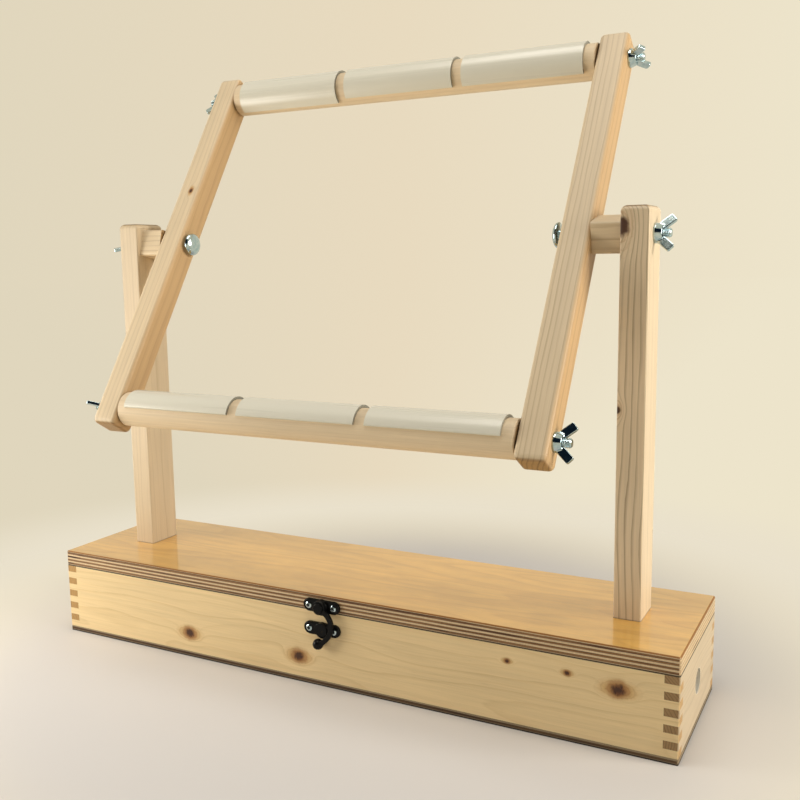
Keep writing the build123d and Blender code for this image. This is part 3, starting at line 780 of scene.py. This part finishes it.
def make_screws(metal, recess_shade_material):
    """Screw groups: each solid of the node becomes a cross-headed screw with its own turn."""
    facing = {"latch_hook_screws": -1, "latch_catch_screws": -1, "hinge_box_screws": 1, "hinge_lid_screws": 1}
    for node, sign in facing.items():
        bm = bmesh.new()
        for number, (low, high) in enumerate(islands(node)):
            seat = (low + high) / 2
            seat.y = (low.y if sign < 0 else high.y) - sign * SCREW_HEAD_HEIGHT
            shank = high.y - low.y - SCREW_HEAD_HEIGHT
            place = lying_along((0, sign, 0), seat)
            screw(bm, place, (high.x - low.x) / 2, shank, SCREW_TURN_STEP * number)
        name = node.replace("screws", "cross_screws")
        piece = piece_from(bm, name, [metal, recess_shade_material], BODY_OF[node])
        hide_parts(node)


def dress_hardware():
    metal = zinc()
    lacquer = black_lacquer()
    for node, slot in SLOT_OF.items():
        if slot == "zinc":
            dress(node, metal)
        if slot == "dark_bronze":
            dress(node, lacquer)
        if node.endswith("wing_nut"):
            soften(node, **CASTING)
        if node in ("latch_hook", "latch_hook_plate", "latch_catch_plate"):
            soften(node, **LATCH_CASTING)
    make_studs(metal)
    make_bolts(metal)
    make_screws(metal, recess_shade_finish())


# Studio
def softbox(name, place, aim, size, level):
    """Square lamp that lights a surface facing it at aim with that share of full level."""
    light = bpy.data.lights.new(name, "AREA")
    light.shape = "SQUARE"
    light.size = size
    light.color = LAMP_COLOUR
    line = Vector(aim) - Vector(place)
    light.energy = level * pi ** 2 * line.length_squared
    lamp = bpy.data.objects.new(name, light)
    lamp.location = place
    lamp.rotation_euler = line.to_track_quat("-Z", "Y").to_euler()
    lamp.visible_camera = False
    bpy.context.scene.collection.objects.link(lamp)


def seen_rays(tree):
    """1 for rays that show a background: from the camera, from gloss and through glass."""
    path = tree.nodes.new("ShaderNodeLightPath")
    total = path.outputs["Is Camera Ray"]
    for ray in ("Is Glossy Ray", "Is Transmission Ray"):
        either = tree.nodes.new("ShaderNodeMath")
        either.operation = "MAXIMUM"
        tree.links.new(total, either.inputs[0])
        tree.links.new(path.outputs[ray], either.inputs[1])
        total = either.outputs[0]
    return total


def backdrop_colour(tree, direction):
    """Cream that grows lighter from the left of the picture to its right."""
    across = tree.nodes.new("ShaderNodeVectorMath")
    across.operation = "DOT_PRODUCT"
    across.inputs[1].default_value = PICTURE_RIGHT
    tree.links.new(direction, across.inputs[0])
    share = tree.nodes.new("ShaderNodeMapRange")
    share.inputs[1].default_value = -BACKDROP_SPAN
    share.inputs[2].default_value = BACKDROP_SPAN
    tree.links.new(across.outputs["Value"], share.inputs[0])
    ramp = tree.nodes.new("ShaderNodeValToRGB")
    ramp.color_ramp.elements.new(0.5)
    stops = ((0.0, "left"), (0.5, "middle"), (1.0, "right"))
    for element, (position, side) in zip(ramp.color_ramp.elements, stops):
        element.position = position
        element.color = (*BACKDROP[side], 1.0)
    tree.links.new(share.outputs[0], ramp.inputs[0])
    return ramp.outputs["Color"]


def floor_finish():
    """Pale table top near the object, plain cream far from it."""
    finish = Finish("floor", {"Roughness": 0.7, "Specular IOR Level": 0.2})
    place = finish.coordinates()
    speck = finish.noise(place, (3.0, 3.0, 3.0), 1.0, 2.0)
    distance = finish.vector("LENGTH", place)
    cream = backdrop_colour(finish.tree, finish.vector("NORMALIZE", place))
    cream = finish.mix(finish.span(distance, *CREAM_FADE), FLOOR_FAR, cream)
    tone = finish.mix(finish.span(distance, *TONE_FADE), FLOOR, cream)
    finish.use("Base Color", finish.brighten(tone, finish.weigh(0.985, (speck, 0.03))))
    glow = finish.add("Emission", {"Color": cream})
    far = finish.times(finish.span(distance, *GLOW_FADE), seen_rays(finish.tree))
    blend = finish.add("MixShader", {0: far, 1: finish.shader.outputs[0], 2: glow.outputs[0]})
    finish.put(finish.tree.nodes["Material Output"].inputs["Surface"], blend.outputs[0])
    return finish.material


def make_floor():
    """Wide round floor that runs into the background."""
    bm = bmesh.new()
    bmesh.ops.create_circle(bm, cap_ends=True, segments=96, radius=FLOOR_RADIUS)
    mesh = bpy.data.meshes.new("floor")
    bm.to_mesh(mesh)
    bm.free()
    mesh.materials.append(floor_finish())
    floor = bpy.data.objects.new("floor", mesh)
    bpy.context.scene.collection.objects.link(floor)


def make_world():
    """Even dim light from all round; what is seen of it, also in gloss and through glass, is cream."""
    world = bpy.data.worlds.new("studio")
    world.use_nodes = True
    bpy.context.scene.world = world
    tree = world.node_tree
    room = tree.nodes["Background"]
    room.inputs["Color"].default_value = (*ROOM, 1.0)
    backdrop = tree.nodes.new("ShaderNodeBackground")
    direction = tree.nodes.new("ShaderNodeTexCoord").outputs["Generated"]
    tree.links.new(backdrop_colour(tree, direction), backdrop.inputs["Color"])
    blend = tree.nodes.new("ShaderNodeMixShader")
    tree.links.new(seen_rays(tree), blend.inputs[0])
    tree.links.new(room.outputs[0], blend.inputs[1])
    tree.links.new(backdrop.outputs[0], blend.inputs[2])
    tree.links.new(blend.outputs[0], tree.nodes["World Output"].inputs["Surface"])


def make_flag():
    """Dark card beside the lamps that only shows as a reflection in the metal."""
    finish = Finish("front_flag", {"Roughness": 1.0, "Specular IOR Level": 0.0})
    cloth = finish.noise(finish.coordinates(), (8.0, 8.0, 8.0), 2.0, 2.0)
    finish.use("Base Color", finish.mix(cloth, FLAG, BLACK))
    mesh = bpy.data.meshes.new("front_flag")
    mesh.from_pydata(FLAG_CORNERS, [], [range(len(FLAG_CORNERS))])
    mesh.materials.append(finish.material)
    card = bpy.data.objects.new("front_flag", mesh)
    for ray in ("camera", "diffuse", "shadow", "transmission", "volume_scatter"):
        setattr(card, f"visible_{ray}", False)
    bpy.context.scene.collection.objects.link(card)


def make_camera():
    data = bpy.data.cameras.new("camera")
    data.lens = CAMERA_LENS
    data.sensor_width = SENSOR
    camera = bpy.data.objects.new("camera", data)
    camera.location = CAMERA_PLACE
    camera.rotation_euler = [radians(angle) for angle in CAMERA_TURN]
    bpy.context.scene.collection.objects.link(camera)
    bpy.context.scene.camera = camera


dress_box()
dress_posts()
dress_bars()
dress_rollers(clip_plastic())
dress_hardware()
make_floor()
make_world()
for lamp_name, settings in LAMPS.items():
    softbox(lamp_name, *settings)
make_flag()
make_camera()
bpy.context.scene.view_settings.view_transform = "Standard"
